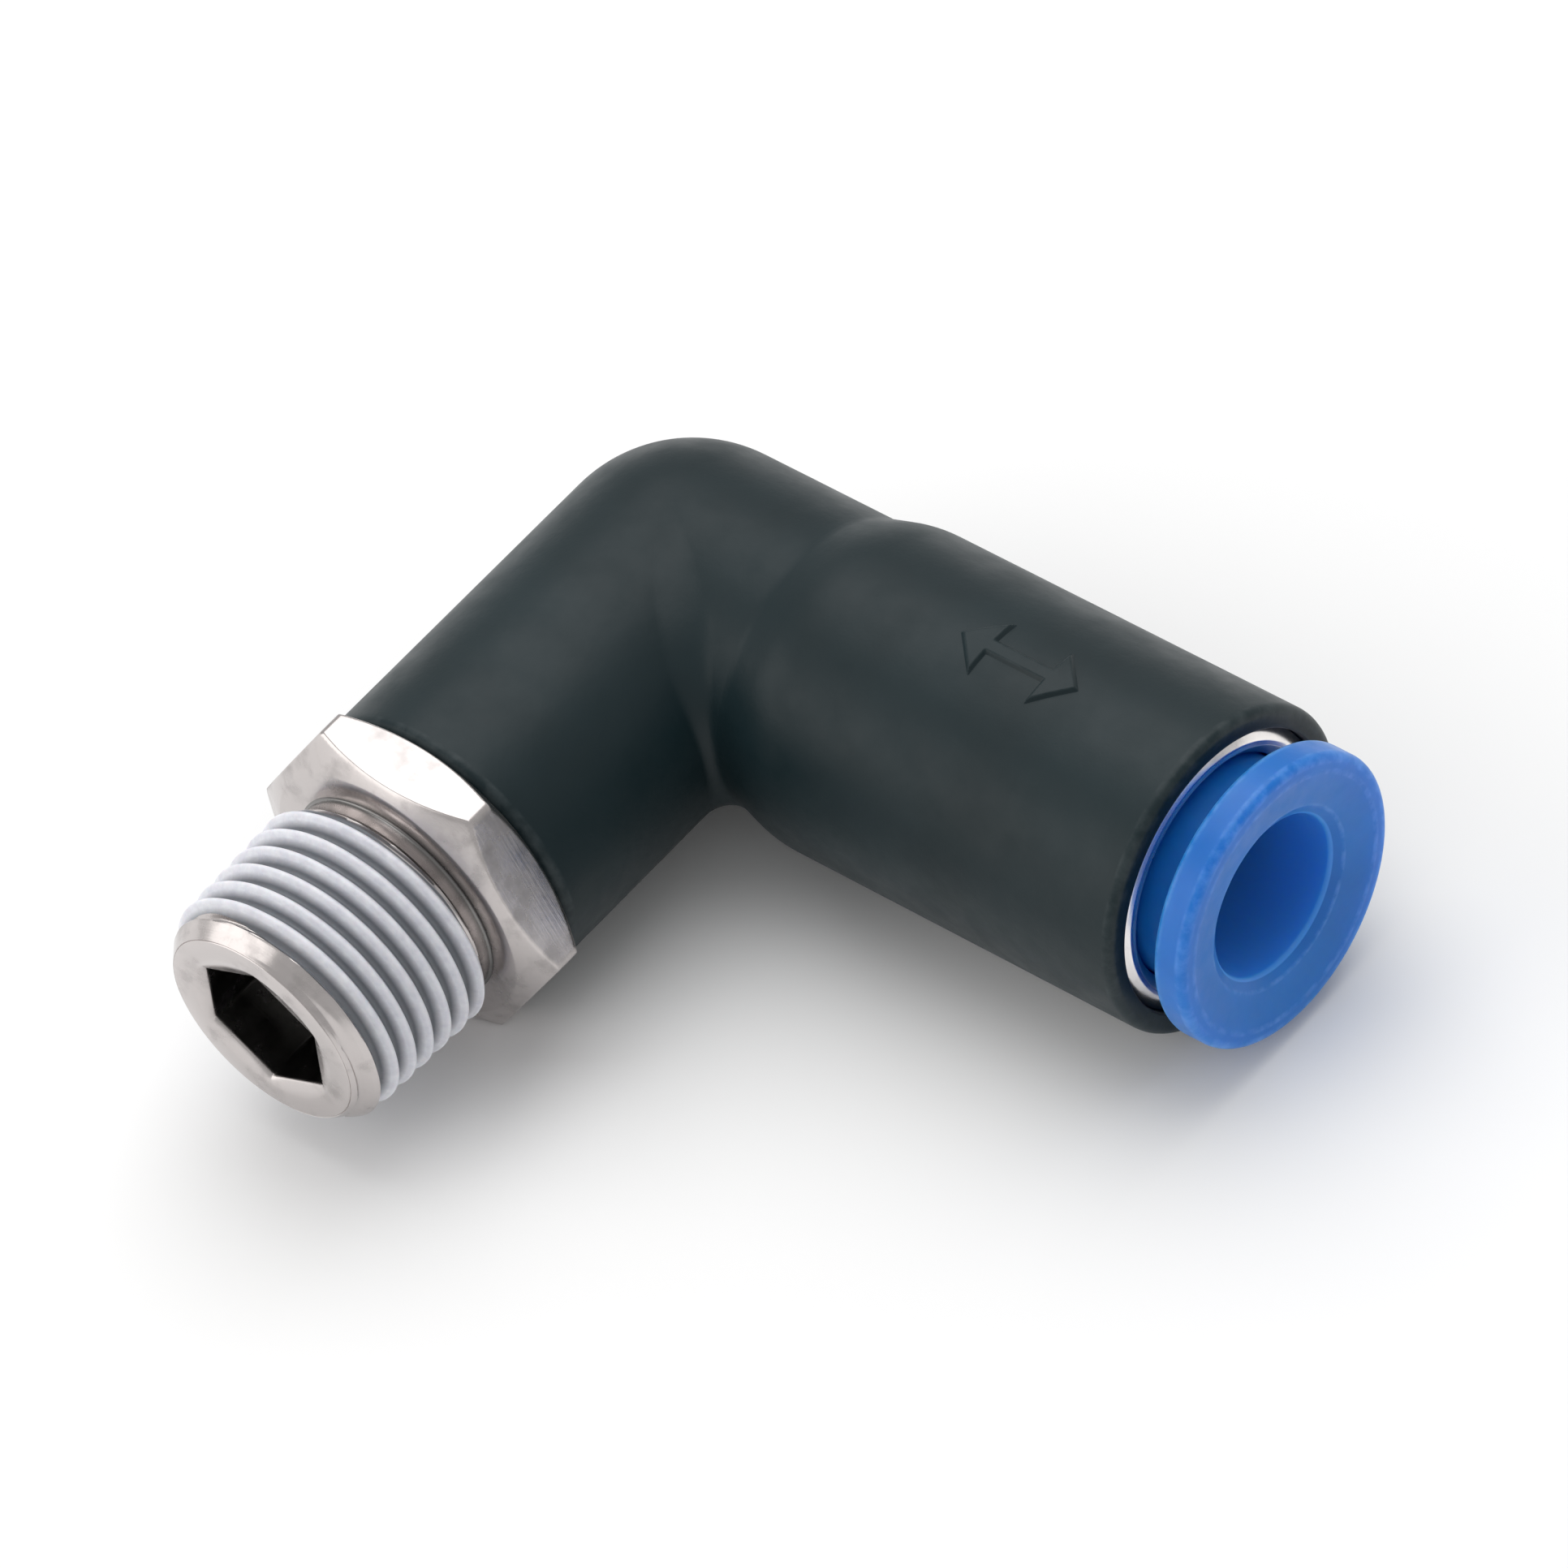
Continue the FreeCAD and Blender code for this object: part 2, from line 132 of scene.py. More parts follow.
# Guide ring
GUIDE_OUTER_R, GUIDE_INNER_R = GUIDE_BORE_R - 0.02, 4.62
GUIDE_LIP, GUIDE_LIP_R = 23.4, 4.3
GUIDE_MOUTH_R, GUIDE_MOUTH_DEPTH = 4.75, 0.4
FLANGE_R, FLANGE_FACE_R, FLANGE_BEVEL = 5.4, 4.95, 0.32

# Release ring
NOSE_INNER_R, NOSE_OUTER_R, NOSE_BEVEL = TUBE_BORE_R + 0.15, 3.45, 0.2
STEM_R, SNAP_R = 4.22, 4.5
SNAP_START, SNAP_RISE, SNAP_END = 22.0, 0.2, GUIDE_LIP - 0.15
HEAD_BACK, HEAD_FLAT_R = 25.95, 4.95
LEAD_IN_DEPTH, LEAD_IN_MIDDLE_R = 0.6, TUBE_BORE_R + 0.45


# ---------------------------------------------------------------- mesh building

def outline(corners, steps=6, support=0.14):
    """Points (distance, radius, edge) of a closed outline of (distance, radius, rounding) corners.
    Edge is 1 on a rounding that stands out, -1 on one that goes in, and 0 on flats. A rounding is
    drawn in so many steps, with one more point on each side, support away, where there is room."""
    count = len(corners)
    place = np.array([c[:2] for c in corners], float)
    following = np.roll(place, -1, axis=0)
    area = np.sum(place[:, 0] * following[:, 1] - following[:, 0] * place[:, 1])
    points = []
    for i, corner in enumerate(corners):
        here, before, after = place[i], place[i - 1], place[(i + 1) % count]
        to_before, to_after = before - here, after - here
        len_before, len_after = np.linalg.norm(to_before), np.linalg.norm(to_after)
        to_before, to_after = to_before / len_before, to_after / len_after
        opening = math.acos(float(np.clip(to_before @ to_after, -1.0, 1.0)))
        rounding = corner[2]
        turn = (to_after[0] * -to_before[1] - to_after[1] * -to_before[0]) * -math.copysign(1, area)
        edge = 1.0 if turn > 0 else -1.0
        reach = rounding / math.tan(0.5 * opening)
        limit = 0.45 * min(len_before, len_after)
        if reach > limit:
            rounding, reach = rounding * limit / reach, limit
        middle = to_before + to_after
        centre = here + middle / np.linalg.norm(middle) * rounding / math.sin(0.5 * opening)
        first, last = here + to_before * reach - centre, here + to_after * reach - centre
        if len_before > 2.0 * (reach + support):
            held = here + to_before * (reach + support)
            points.append((held[0], held[1], 0.0))
        swing = math.pi - opening
        for k in range(steps + 1):
            share = k / steps
            blend_first = math.sin((1 - share) * swing) / math.sin(swing)
            blend_last = math.sin(share * swing) / math.sin(swing)
            at = centre + first * blend_first + last * blend_last
            points.append((at[0], at[1], edge))
        if len_after > 2.0 * (reach + support):
            held = here + to_after * (reach + support)
            points.append((held[0], held[1], 0.0))
    return points


def angles(columns):
    """So many even angles round a full turn."""
    return np.linspace(0.0, 2.0 * math.pi, columns, endpoint=False)


def about(way, distance, radius, theta):
    """Points at a distance along a leg and a radius about it; theta starts at UP."""
    side = np.cross(way, UP)
    spoke = np.outer(np.cos(theta), UP) + np.outer(np.sin(theta), side)
    distance = np.broadcast_to(np.asarray(distance, float), theta.shape)
    radius = np.broadcast_to(np.asarray(radius, float), theta.shape)
    return CROSS + np.outer(distance, way) + spoke * radius[:, None]


def skin(name, rows, edges, sharp=50.0):
    """Closed mesh from rings of points, each joined to the next and the last to the first. Each
    point keeps its edge value for the materials."""
    points = np.array(rows) * MM
    count, columns = points.shape[:2]
    row, column = np.meshgrid(np.arange(count), np.arange(columns), indexing="ij")
    next_row, next_column = (row + 1) % count, (column + 1) % columns
    quads = np.stack([
        row * columns + column, row * columns + next_column,
        next_row * columns + next_column, next_row * columns + column,
    ], axis=-1).reshape(-1, 4)
    mesh = bpy.data.meshes.new(name)
    mesh.from_pydata(points.reshape(-1, 3).tolist(), [], quads.tolist())
    worn = mesh.attributes.new("edge", "FLOAT", "POINT")
    worn.data.foreach_set("value", np.array(edges, np.float32).ravel())
    return settle(name, mesh, sharp)


def settle(name, mesh, sharp=50.0):
    """Joins points that coincide, turns the normals outwards, shades the mesh smooth up to an angle
    and links it."""
    work = bmesh.new()
    work.from_mesh(mesh)
    bmesh.ops.remove_doubles(work, verts=work.verts, dist=0.0001 * MM)
    bmesh.ops.recalc_face_normals(work, faces=work.faces)
    if work.calc_volume(signed=True) < 0:
        bmesh.ops.reverse_faces(work, faces=work.faces)
    work.to_mesh(mesh)
    work.free()
    mesh.polygons.foreach_set("use_smooth", [True] * len(mesh.polygons))
    mesh.set_sharp_from_angle(angle=math.radians(sharp))
    piece = bpy.data.objects.new(name, mesh)
    bpy.context.scene.collection.objects.link(piece)
    return piece


def lathe(name, way, corners, inside_r=0.0):
    """Ring turned about a leg; its wall within the radius inside_r has an edge value of -2."""
    theta = angles(192)
    points = outline(corners, steps=10)
    rows = [about(way, s, r, theta) for s, r, _ in points]
    edges = [np.full_like(theta, -2.0 if r < inside_r else e) for _, r, e in points]
    return skin(name, rows, edges)


def soft_min(a, b, width=0.03):
    """The smaller of two values, with the change from one to the other rounded over a width."""
    return -width * np.logaddexp(-a / width, -b / width)


def hexagon_radius(theta, flats, corner_at):
    """Radius of a hexagon with slightly rounded corners; one corner is at the angle corner_at."""
    off_flat = np.mod(theta - corner_at, math.pi / 3.0) - math.pi / 6.0
    near = 0.5 * flats / np.cos(off_flat)
    other = 0.5 * flats / np.cos(math.pi / 3.0 - np.abs(off_flat))
    return soft_min(near, other)


def wobble(theta, seed, waves=7):
    """Smooth random ripple round a ring, between about -1 and 1."""
    rng = np.random.default_rng(SEED + seed)
    total = np.zeros_like(theta)
    for n in range(1, waves + 1):
        total += rng.normal() * np.sin(n * theta + rng.uniform(0.0, 2.0 * math.pi)) / math.sqrt(n)
    return total / max(1e-6, np.abs(total).max())


# ---------------------------------------------------------------- elbow body

def elbow_rings(theta, radius, near, fuller, thread_end, tube_end, leg_steps, corner_steps):
    """Rings along an L-shaped round bar, from thread_end on one leg to tube_end on the other.
    The crease has a radius of near in the crotch, fuller by so much higher up."""
    rho = radius * np.cos(theta)
    height = radius * np.sin(theta)
    inside = rho > 0.0
    depth = np.abs(rho) / radius
    round_r = near * depth + fuller * depth * (1.0 - depth)
    start = np.where(inside, rho + round_r, 0.0)
    rings = []

    def ring(along_thread, along_tube):
        return np.stack([along_tube, CROSS[1] - along_thread, height], axis=-1)

    for k in range(leg_steps):
        share = k / leg_steps
        rings.append(ring(thread_end + (start - thread_end) * share, rho))
    for k in range(corner_steps + 1):
        turn = 0.5 * math.pi * k / corner_steps
        hollow = start - round_r * math.sin(turn), rho + round_r * (1.0 - math.cos(turn))
        bulge = rho * math.sin(turn), rho * math.cos(turn)
        along_thread, along_tube = (np.where(inside, h, b) for h, b in zip(hollow, bulge))
        rings.append(ring(along_thread, along_tube))
    for k in range(1, leg_steps + 1):
        share = k / leg_steps
        rings.append(ring(rho, start + (tube_end - start) * share))
    return rings


def make_body():
    """Elbow body in one skin: thread leg's bore and mouth, outside, tube leg's mouth, bore, flow way."""
    theta = angles(224)

    def leg_rings(points, way, other):
        """Rings about a leg; theta starts on the side of the other leg."""
        spoke = np.outer(np.cos(theta), other) + np.outer(np.sin(theta), UP)
        return [CROSS + s * way + r * spoke for s, r, _ in points]

    past_flow_end = FLOW_CORNER_END + 0.05
    lip_r = ELBOW_R - THREAD_END_ROUND - 0.05
    tube_leg = outline([
        (0.0, 0.0, 0.01), (0.0, ELBOW_R, 0.01), (NECK_END, ELBOW_R, NECK_ROUND),
        (FLARE_END, TUBE_LEG_R, FLARE_ROUND), (TUBE_LEG_END, TUBE_LEG_R, TUBE_END_ROUND),
        (TUBE_LEG_END, FLANGE_BORE_R, 0.06), (FLANGE_SEAT, FLANGE_BORE_R, 0.03),
        (FLANGE_SEAT, GUIDE_BORE_R, 0.03), (GUIDE_SEAT, GUIDE_BORE_R, 0.02),
        (GUIDE_SEAT, SEAL_BORE_R, 0.02), (SEAL_SEAT, SEAL_BORE_R, 0.1), (SEAL_SEAT, TUBE_BORE_R, 0.05),
        (TUBE_STOP, TUBE_BORE_R, 0.05), (TUBE_STOP, FLOW_R, 0.05), (FLOW_CORNER_END, FLOW_R, 0.01),
        (FLOW_CORNER_END, 0.0, 0.01),
    ])
    tube_leg = [p for p in tube_leg if p[1] > FLOW_R - 0.01
                and p[0] > (CORNER_TUBE_END if p[1] > TUBE_BORE_R else past_flow_end)]
    thread_leg = outline([
        (0.0, 0.0, 0.01), (FLOW_CORNER_END, 0.0, 0.01), (FLOW_CORNER_END, FLOW_R, 0.01),
        (SPIGOT_BORE_START, FLOW_R, 0.05), (SPIGOT_BORE_START, SPIGOT_BORE_R, 0.05),
        (SNAP_GROOVE[0], SPIGOT_BORE_R, 0.03), (SNAP_GROOVE[0], SNAP_GROOVE_R, 0.03),
        (SNAP_GROOVE[1], SNAP_GROOVE_R, 0.03), (SNAP_GROOVE[1], SNAP_LIP_R, 0.03),
        (THREAD_LEG_END - SNAP_LEAD_IN, SNAP_LIP_R, 0.03), (THREAD_LEG_END, LEAD_IN_R, 0.05),
        (THREAD_LEG_END, ELBOW_R, THREAD_END_ROUND), (0.0, ELBOW_R, 0.01),
    ])
    bore_part = [p for p in thread_leg if p[0] > past_flow_end and p[1] < lip_r]
    outer_part = [p for p in thread_leg if p[0] > CORNER_THREAD_END and p[1] >= lip_r]
    outer = elbow_rings(theta, ELBOW_R, CREASE_R, CREASE_FULLER, CORNER_THREAD_END, CORNER_TUBE_END, 16, 28)
    inner = elbow_rings(theta, FLOW_R, FLOW_CREASE_R, 0.0, FLOW_CORNER_END, FLOW_CORNER_END, 3, 14)
    rings = leg_rings(bore_part + outer_part, THREAD_WAY, TUBE_WAY) + outer
    rings += leg_rings(tube_leg, TUBE_WAY, THREAD_WAY) + inner[::-1]
    edges = [np.full_like(theta, p[2]) for p in bore_part + outer_part]
    edges += [np.zeros_like(theta)] * len(outer)
    edges += [np.full_like(theta, p[2] * (p[0] > FLARE_END + 1.0)) for p in tube_leg]
    edges += [np.zeros_like(theta)] * len(inner)
    return skin("elbow_shell", rings, edges)


def make_flow_mark():
    """Raised double arrow on top of the tube leg, a plain sign for the flow axis."""
    half, head, shaft = MARK_HALF_LENGTH, MARK_HALF_WIDTH, MARK_HALF_SHAFT
    border, overlap, slope_width = 0.35, 0.3, 0.2
    sunk, root = 0.03, 0.25
    along = np.linspace(-half - border, half + border, 150)
    across = np.linspace(-head - border, head + border, 90)
    x, y = np.meshgrid(along, across, indexing="ij")
    tip = (half - np.abs(x) - np.abs(y)) * math.sqrt(0.5)
    base = np.abs(x) - (half - head)
    arrow = np.minimum(tip, base)
    shaft_field = np.minimum(shaft - np.abs(y), half - head + overlap - np.abs(x))
    inside = np.maximum(arrow, shaft_field)
    rise = np.clip(inside / slope_width + 0.5, 0.0, 1.0)
    rise = rise * rise * (3.0 - 2.0 * rise)
    top = TUBE_LEG_R - sunk + (MARK_LIFT + sunk) * rise
    bottom = np.full_like(top, TUBE_LEG_R - root)
    spread = y / TUBE_LEG_R

    def place(radius):
        """Points of the grid bent round the tube leg at a radius."""
        around = CROSS[1] + radius * np.sin(spread)
        return np.stack([MARK_MIDDLE + x, around, radius * np.cos(spread)], axis=-1)

    rows, columns = x.shape
    points = np.concatenate([place(top).reshape(-1, 3), place(bottom).reshape(-1, 3)]) * MM
    under = rows * columns
    quads = []
    for i in range(rows - 1):
        for j in range(columns - 1):
            a, b = i * columns + j, (i + 1) * columns + j
            quads.append((a, b, b + 1, a + 1))
            quads.append((under + a, under + a + 1, under + b + 1, under + b))
    rim = [i * columns for i in range(rows)]
    rim += [(rows - 1) * columns + j for j in range(1, columns)]
    rim += [i * columns + columns - 1 for i in range(rows - 2, -1, -1)]
    rim += list(range(columns - 2, 0, -1))
    for here, after in zip(rim, rim[1:] + rim[:1]):
        quads.append((here, after, under + after, under + here))
    mesh = bpy.data.meshes.new("flow_mark")
    mesh.from_pydata(points.tolist(), [], quads)
    worn = mesh.attributes.new("edge", "FLOAT", "POINT")
    ridge = np.exp(-((rise - 0.9) / 0.12) ** 2)
    values = np.concatenate([ridge.ravel(), np.zeros(under)])
    worn.data.foreach_set("value", values.astype(np.float32))
    return settle("flow_mark", mesh)


# ---------------------------------------------------------------- stud and sealant

def thread_major(s):
    """Radius over the crests of the taper thread, at a distance along the leg."""
    return GAUGE_R + (THREAD_TIP - GAUGE_LENGTH - s) * THREAD_TAPER


def thread_surface(s, theta):
    """Radius of the cut thread with rounded crests and roots, its run-out and its tip chamfer, and
    how far down the flank each point is, from 0 on a crest to 1 in a root."""
    flat, roundness = 0.1, 0.45
    run_out_r, run_out_slope = RELIEF_R + 0.1, 1.06
    phase = np.mod(s / PITCH - theta / (2.0 * math.pi), 1.0)
    fall = np.clip((np.abs(2.0 * phase - 1.0) - flat) / (1.0 - 2.0 * flat), 0.0, 1.0)
    fall = (1.0 - roundness) * fall + roundness * (0.5 - 0.5 * np.cos(math.pi * fall))
    cut = thread_major(s) - THREAD_DEPTH * fall
    run_out = run_out_r + (s - THREAD_START) * run_out_slope
    tip = TIP_FACE_R + (THREAD_TIP - s) * (thread_major(THREAD_TIP) - TIP_FACE_R) / TIP_CHAMFER
    return soft_min(soft_min(cut, run_out, 0.02), tip, 0.02), fall


def chamfer_radius(depth, face_r):
    """Radius of the ball that trims the hexagon's corners, at a depth behind the end face."""
    corner_r = HEX_FLATS / math.sqrt(3.0)
    drop = (corner_r - face_r) * math.tan(HEX_CHAMFER)
    centre = (drop ** 2 + corner_r ** 2 - face_r ** 2) / (2.0 * drop)
    return math.sqrt(centre ** 2 + face_r ** 2 - (centre - depth) ** 2)


def spigot_points():
    """Outline points of the spigot, from its bore's edge round its end to the hexagon's back face."""
    points = outline([
        (SPIGOT_END, STUD_BORE_R, 0.05), (SPIGOT_END, SPIGOT_R - SPIGOT_LEAD_IN, 0.05),
        (SPIGOT_END + SPIGOT_LEAD_IN, SPIGOT_R, 0.05), (RING_GROOVE[0], SPIGOT_R, 0.08),
        (RING_GROOVE[0], RING_GROOVE_R, 0.08), (RING_GROOVE[1], RING_GROOVE_R, 0.08),
        (RING_GROOVE[1], SPIGOT_R, 0.08), (BARB_START, SPIGOT_R, 0.05), (BARB_TOP[0], BARB_R, 0.05),
        (BARB_TOP[1], BARB_R, 0.03), (BARB_TOP[1], SPIGOT_R, 0.03),
        (HEX_BACK, SPIGOT_R, 0.02), (HEX_BACK, STUD_BORE_R, 0.01),
    ])
    past_rounding = 0.06
    return [
        (s, r, edge) for s, r, edge in points
        if s < HEX_BACK - 0.001 and (r > STUD_BORE_R + past_rounding or s < SPIGOT_END + past_rounding)
    ]


def make_stud():
    """Stud in one skin, from the spigot over the hexagon and the thread to the hexagon socket."""
    theta = angles(240)
    hexagon = hexagon_radius(theta, HEX_FLATS, HEX_TURN)
    key = hexagon_radius(theta, KEY_FLATS, HEX_TURN + math.pi / 6.0)
    quarter_turn = np.linspace(0.0, 0.5 * math.pi, 5)
    rows, edges = [], []

    def add(s, r, edge=0.0):
        rows.append(about(THREAD_WAY, s, r, theta))
        edges.append(np.broadcast_to(np.asarray(edge, float), theta.shape))

    # Spigot and hexagon
    for s, r, edge in spigot_points():
        add(s, r, edge)
    add(HEX_BACK, SPIGOT_R)
    back_trim, front_trim = HEX_BACK + 0.75, HEX_SHOULDER - 0.95
    corner_band, chamfer_band = 0.09, 0.07
    hexagon_places = np.concatenate([
        np.linspace(HEX_BACK, back_trim, 26), np.linspace(back_trim, front_trim, 5)[1:-1],
        np.linspace(front_trim, HEX_SHOULDER, 32),
    ])
    for s in hexagon_places:
        limit = min(chamfer_radius(s - HEX_BACK, HEX_BACK_R), chamfer_radius(HEX_SHOULDER - s, HEX_FRONT_R))
        near_corner = np.exp(-((hexagon.max() - hexagon) / corner_band) ** 2) * (limit > hexagon)
        near_chamfer = np.exp(-((limit - hexagon) / chamfer_band) ** 2)
        add(s, soft_min(hexagon, limit), 0.8 * np.clip(near_corner + near_chamfer, 0.0, 1.0))

    # Relief and thread
    fillet_r = RELIEF_R + RELIEF_FILLET
    add(HEX_SHOULDER, fillet_r + 0.05)
    # The relief fillet's edge of -1 makes the nickel material paint it in shade.
    for turn in quarter_turn:
        step_out, step_in = RELIEF_FILLET * (1.0 - math.cos(turn)), RELIEF_FILLET * math.sin(turn)
        add(HEX_SHOULDER + step_out, fillet_r - step_in, -1.0)
    rows_per_turn = 22
    for s in np.arange(THREAD_START - 0.1, THREAD_TIP - 0.02, PITCH / rows_per_turn):
        radius, fall = thread_surface(s, theta)
        add(s, radius, np.where(fall < 0.15, 0.6, -0.4 * fall))
    for turn in quarter_turn:
        step_back, step_in = TIP_ROUND * (1.0 - math.sin(turn)), TIP_ROUND * (1.0 - math.cos(turn))
        add(THREAD_TIP - step_back, TIP_FACE_R - step_in, 1.0)

    # Hexagon socket: its eased rim, its walls and the drill's cone down to the flow way
    rim_r, socket_floor = 3.25, THREAD_TIP - KEY_DEPTH
    add(THREAD_TIP, np.maximum(key + 0.3, rim_r))
    add(THREAD_TIP - 0.02, np.maximum(key + 0.2, rim_r - 0.13), 0.7)
    add(THREAD_TIP - 0.14, key + 0.04, 0.7)
    add(THREAD_TIP - 0.2, key, 0.4)
    # The socket walls' edge of -1 makes the nickel material paint them in shade.
    for s in np.linspace(THREAD_TIP - 0.3, socket_floor, 9):
        add(s, key, -1.0)
    add(socket_floor - 0.02, key - 0.05, -1.0)
    add(socket_floor - 0.3, STUD_BORE_R + 0.05, -1.0)
    add(socket_floor - 0.4, STUD_BORE_R, -1.0)
    return skin("stud_metal", rows, edges)


def make_sealant():
    """Uneven dry coat over the thread, thicker in the valleys, with a wavering border."""
    back_waver, tip_waver, feathering = 0.06, 0.12, 0.18
    crest_coat, valley_extra, patchiness = 0.045, 0.05, 0.012
    root_depth, border_dip = 0.03, 0.004
    theta = angles(288)
    start = COAT_START + back_waver * (1.0 + wobble(theta, 1))
    end = COAT_END - tip_waver * (1.0 + wobble(theta, 2))
    outer, inner, edges = [], [], []
    for share in np.linspace(0.0, 1.0, 150):
        s = start + (end - start) * share
        surface, fall = thread_surface(s, theta)
        feather = np.clip(np.minimum(s - start, end - s) / feathering, 0.0, 1.0)
        patch = wobble(theta + 0.8 * s.mean(), 3, 11)
        thick = (crest_coat + valley_extra * fall + patchiness * patch) * feather
        outer.append(about(THREAD_WAY, s, surface + thick - border_dip * (1.0 - feather), theta))
        inner.append(about(THREAD_WAY, s, surface - root_depth, theta))
        # Edge runs from 1 on the crests to -0.4 in the roots; the sealant material paints shade in the
        # valleys from it.
        edges.append(1.0 - 1.4 * fall)
    return skin("sealant_coat", outer + inner[::-1], edges + edges[::-1], 80.0)


# ---------------------------------------------------------------- tube leg trim

def make_guide_ring():
    return lathe("guide_ring_plated", TUBE_WAY, [
        (GUIDE_START, GUIDE_INNER_R, 0.05), (GUIDE_START, GUIDE_OUTER_R, 0.08),
        (FLANGE_SEAT, GUIDE_OUTER_R, 0.02), (FLANGE_SEAT, FLANGE_R, 0.04),
        (GUIDE_END - FLANGE_BEVEL, FLANGE_R, 0.1), (GUIDE_END, FLANGE_FACE_R, 0.2),
        (GUIDE_END, GUIDE_MOUTH_R, 0.1), (GUIDE_END - GUIDE_MOUTH_DEPTH, GUIDE_LIP_R, 0.2),
        (GUIDE_LIP, GUIDE_LIP_R, 0.05), (GUIDE_LIP, GUIDE_INNER_R, 0.05),
    ])


def make_release_ring():
    return lathe("release_ring_blue", TUBE_WAY, [
        (NOSE_END, NOSE_INNER_R, 0.1), (NOSE_END, NOSE_OUTER_R, 0.1), (SNAP_START, STEM_R, 0.2),
        (SNAP_START + SNAP_RISE, SNAP_R, 0.06), (SNAP_END, SNAP_R, 0.05), (SNAP_END, STEM_R, 0.05),
        (HEAD_BACK, STEM_R, 0.25), (HEAD_BACK, HEAD_R, 0.25), (HEAD_FACE, HEAD_R, 0.5),
        (HEAD_FACE, HEAD_FLAT_R, 0.6), (HEAD_FACE - 0.5 * LEAD_IN_DEPTH, LEAD_IN_MIDDLE_R, 0.2),
        (HEAD_FACE - LEAD_IN_DEPTH, TUBE_BORE_R, 0.2), (NOSE_END + NOSE_BEVEL, TUBE_BORE_R, 0.15),
    ], inside_r=TUBE_BORE_R + 0.12)


# ---------------------------------------------------------------- materials

class Shader:
    """A node material made through short calls."""

    def __init__(self, name, color, metallic=0.0, roughness=0.5, **sockets):
        self.material = bpy.data.materials.new(name)
        self.material.use_nodes = True
        self.nodes = self.material.node_tree.nodes
        self.links = self.material.node_tree.links
        self.base = self.nodes["Principled BSDF"]
        self.base.inputs["Base Color"].default_value = (*color, 1.0)
        self.base.inputs["Metallic"].default_value = metallic
        self.base.inputs["Roughness"].default_value = roughness
        for socket, value in sockets.items():
            self.base.inputs[socket.replace("_", " ")].default_value = value
        self.place = self.nodes.new("ShaderNodeTexCoord").outputs["Object"]

    def noise(self, per_mm, detail=4.0, roughness=0.55, squash=None):
        """Noise of so many features to the millimetre, squashed by so much along X, Y and Z."""
        node = self.nodes.new("ShaderNodeTexNoise")
        node.inputs["Scale"].default_value = per_mm / MM
        node.inputs["Detail"].default_value = detail
        node.inputs["Roughness"].default_value = roughness
        place = self.place
        if squash:
            mapping = self.nodes.new("ShaderNodeMapping")
            mapping.inputs["Scale"].default_value = squash
            self.links.new(self.place, mapping.inputs["Vector"])
            place = mapping.outputs["Vector"]
        self.links.new(place, node.inputs["Vector"])
        return node.outputs["Fac"]

    def attribute(self, name):
        node = self.nodes.new("ShaderNodeAttribute")
        node.attribute_name = name
        return node.outputs["Fac"]

    def ramp(self, value, low, high, low_value=0.0, high_value=1.0):
        """A value mapped from low..high to low_value..high_value, and held there."""
        node = self.nodes.new("ShaderNodeMapRange")
        node.inputs["From Min"].default_value = low
        node.inputs["From Max"].default_value = high
        node.inputs["To Min"].default_value = low_value
        node.inputs["To Max"].default_value = high_value
        self.links.new(value, node.inputs["Value"])
        return node.outputs["Result"]

    def math(self, operation, a, b):
        node = self.nodes.new("ShaderNodeMath")
        node.operation = operation
        for socket, value in zip(node.inputs, (a, b)):
            if isinstance(value, (int, float)):
                socket.default_value = value
            else:
                self.links.new(value, socket)
        return node.outputs["Value"]

    def mix(self, factor, first, second):
        """Colour mix; first and second are colours or sockets."""
        node = self.nodes.new("ShaderNodeMix")
        node.data_type = "RGBA"
        self.links.new(factor, node.inputs["Factor"])
        for socket, value in ((node.inputs[6], first), (node.inputs[7], second)):
            if isinstance(value, tuple):
                socket.default_value = (*value, 1.0)
            else:
                self.links.new(value, socket)
        return node.outputs[2]

    def bump(self, height, depth_mm, strength=1.0, over=None):
        """Bump of a depth, on top of another bump where over is given."""
        node = self.nodes.new("ShaderNodeBump")
        node.inputs["Strength"].default_value = strength
        node.inputs["Distance"].default_value = depth_mm * MM
        self.links.new(height, node.inputs["Height"])
        if over is not None:
            self.links.new(over, node.inputs["Normal"])
        return node.outputs["Normal"]

    def set(self, socket, source):
        self.links.new(source, self.base.inputs[socket])


def resin_material():
    """Satin black moulded resin: fine spark-eroded grain, faint flow clouds, rubbed edges."""
    look = Shader("black_resin", (0.008, 0.02, 0.023), roughness=0.4, Specular_IOR_Level=0.27)
    clouds = look.noise(0.16, 3.0)
    grain = look.noise(9.0, 3.0, 0.6)
    rubbed = look.math("MULTIPLY", look.ramp(look.attribute("edge"), 0.3, 1.0),
                       look.ramp(look.noise(1.4, 5.0), 0.42, 0.68))
    base = look.mix(look.ramp(clouds, 0.3, 0.7), (0.004, 0.013, 0.016), (0.0075, 0.019, 0.023))
    look.set("Base Color", look.mix(look.math("MULTIPLY", rubbed, 0.3), base, (0.07, 0.085, 0.09)))
    look.set("Roughness", look.ramp(look.noise(0.7, 5.0), 0.25, 0.75, 0.36, 0.5))
    coarse = look.bump(look.noise(1.1, 2.0), 0.012)
    look.set("Normal", look.bump(grain, 0.0035, 1.0, coarse))
    return look.material


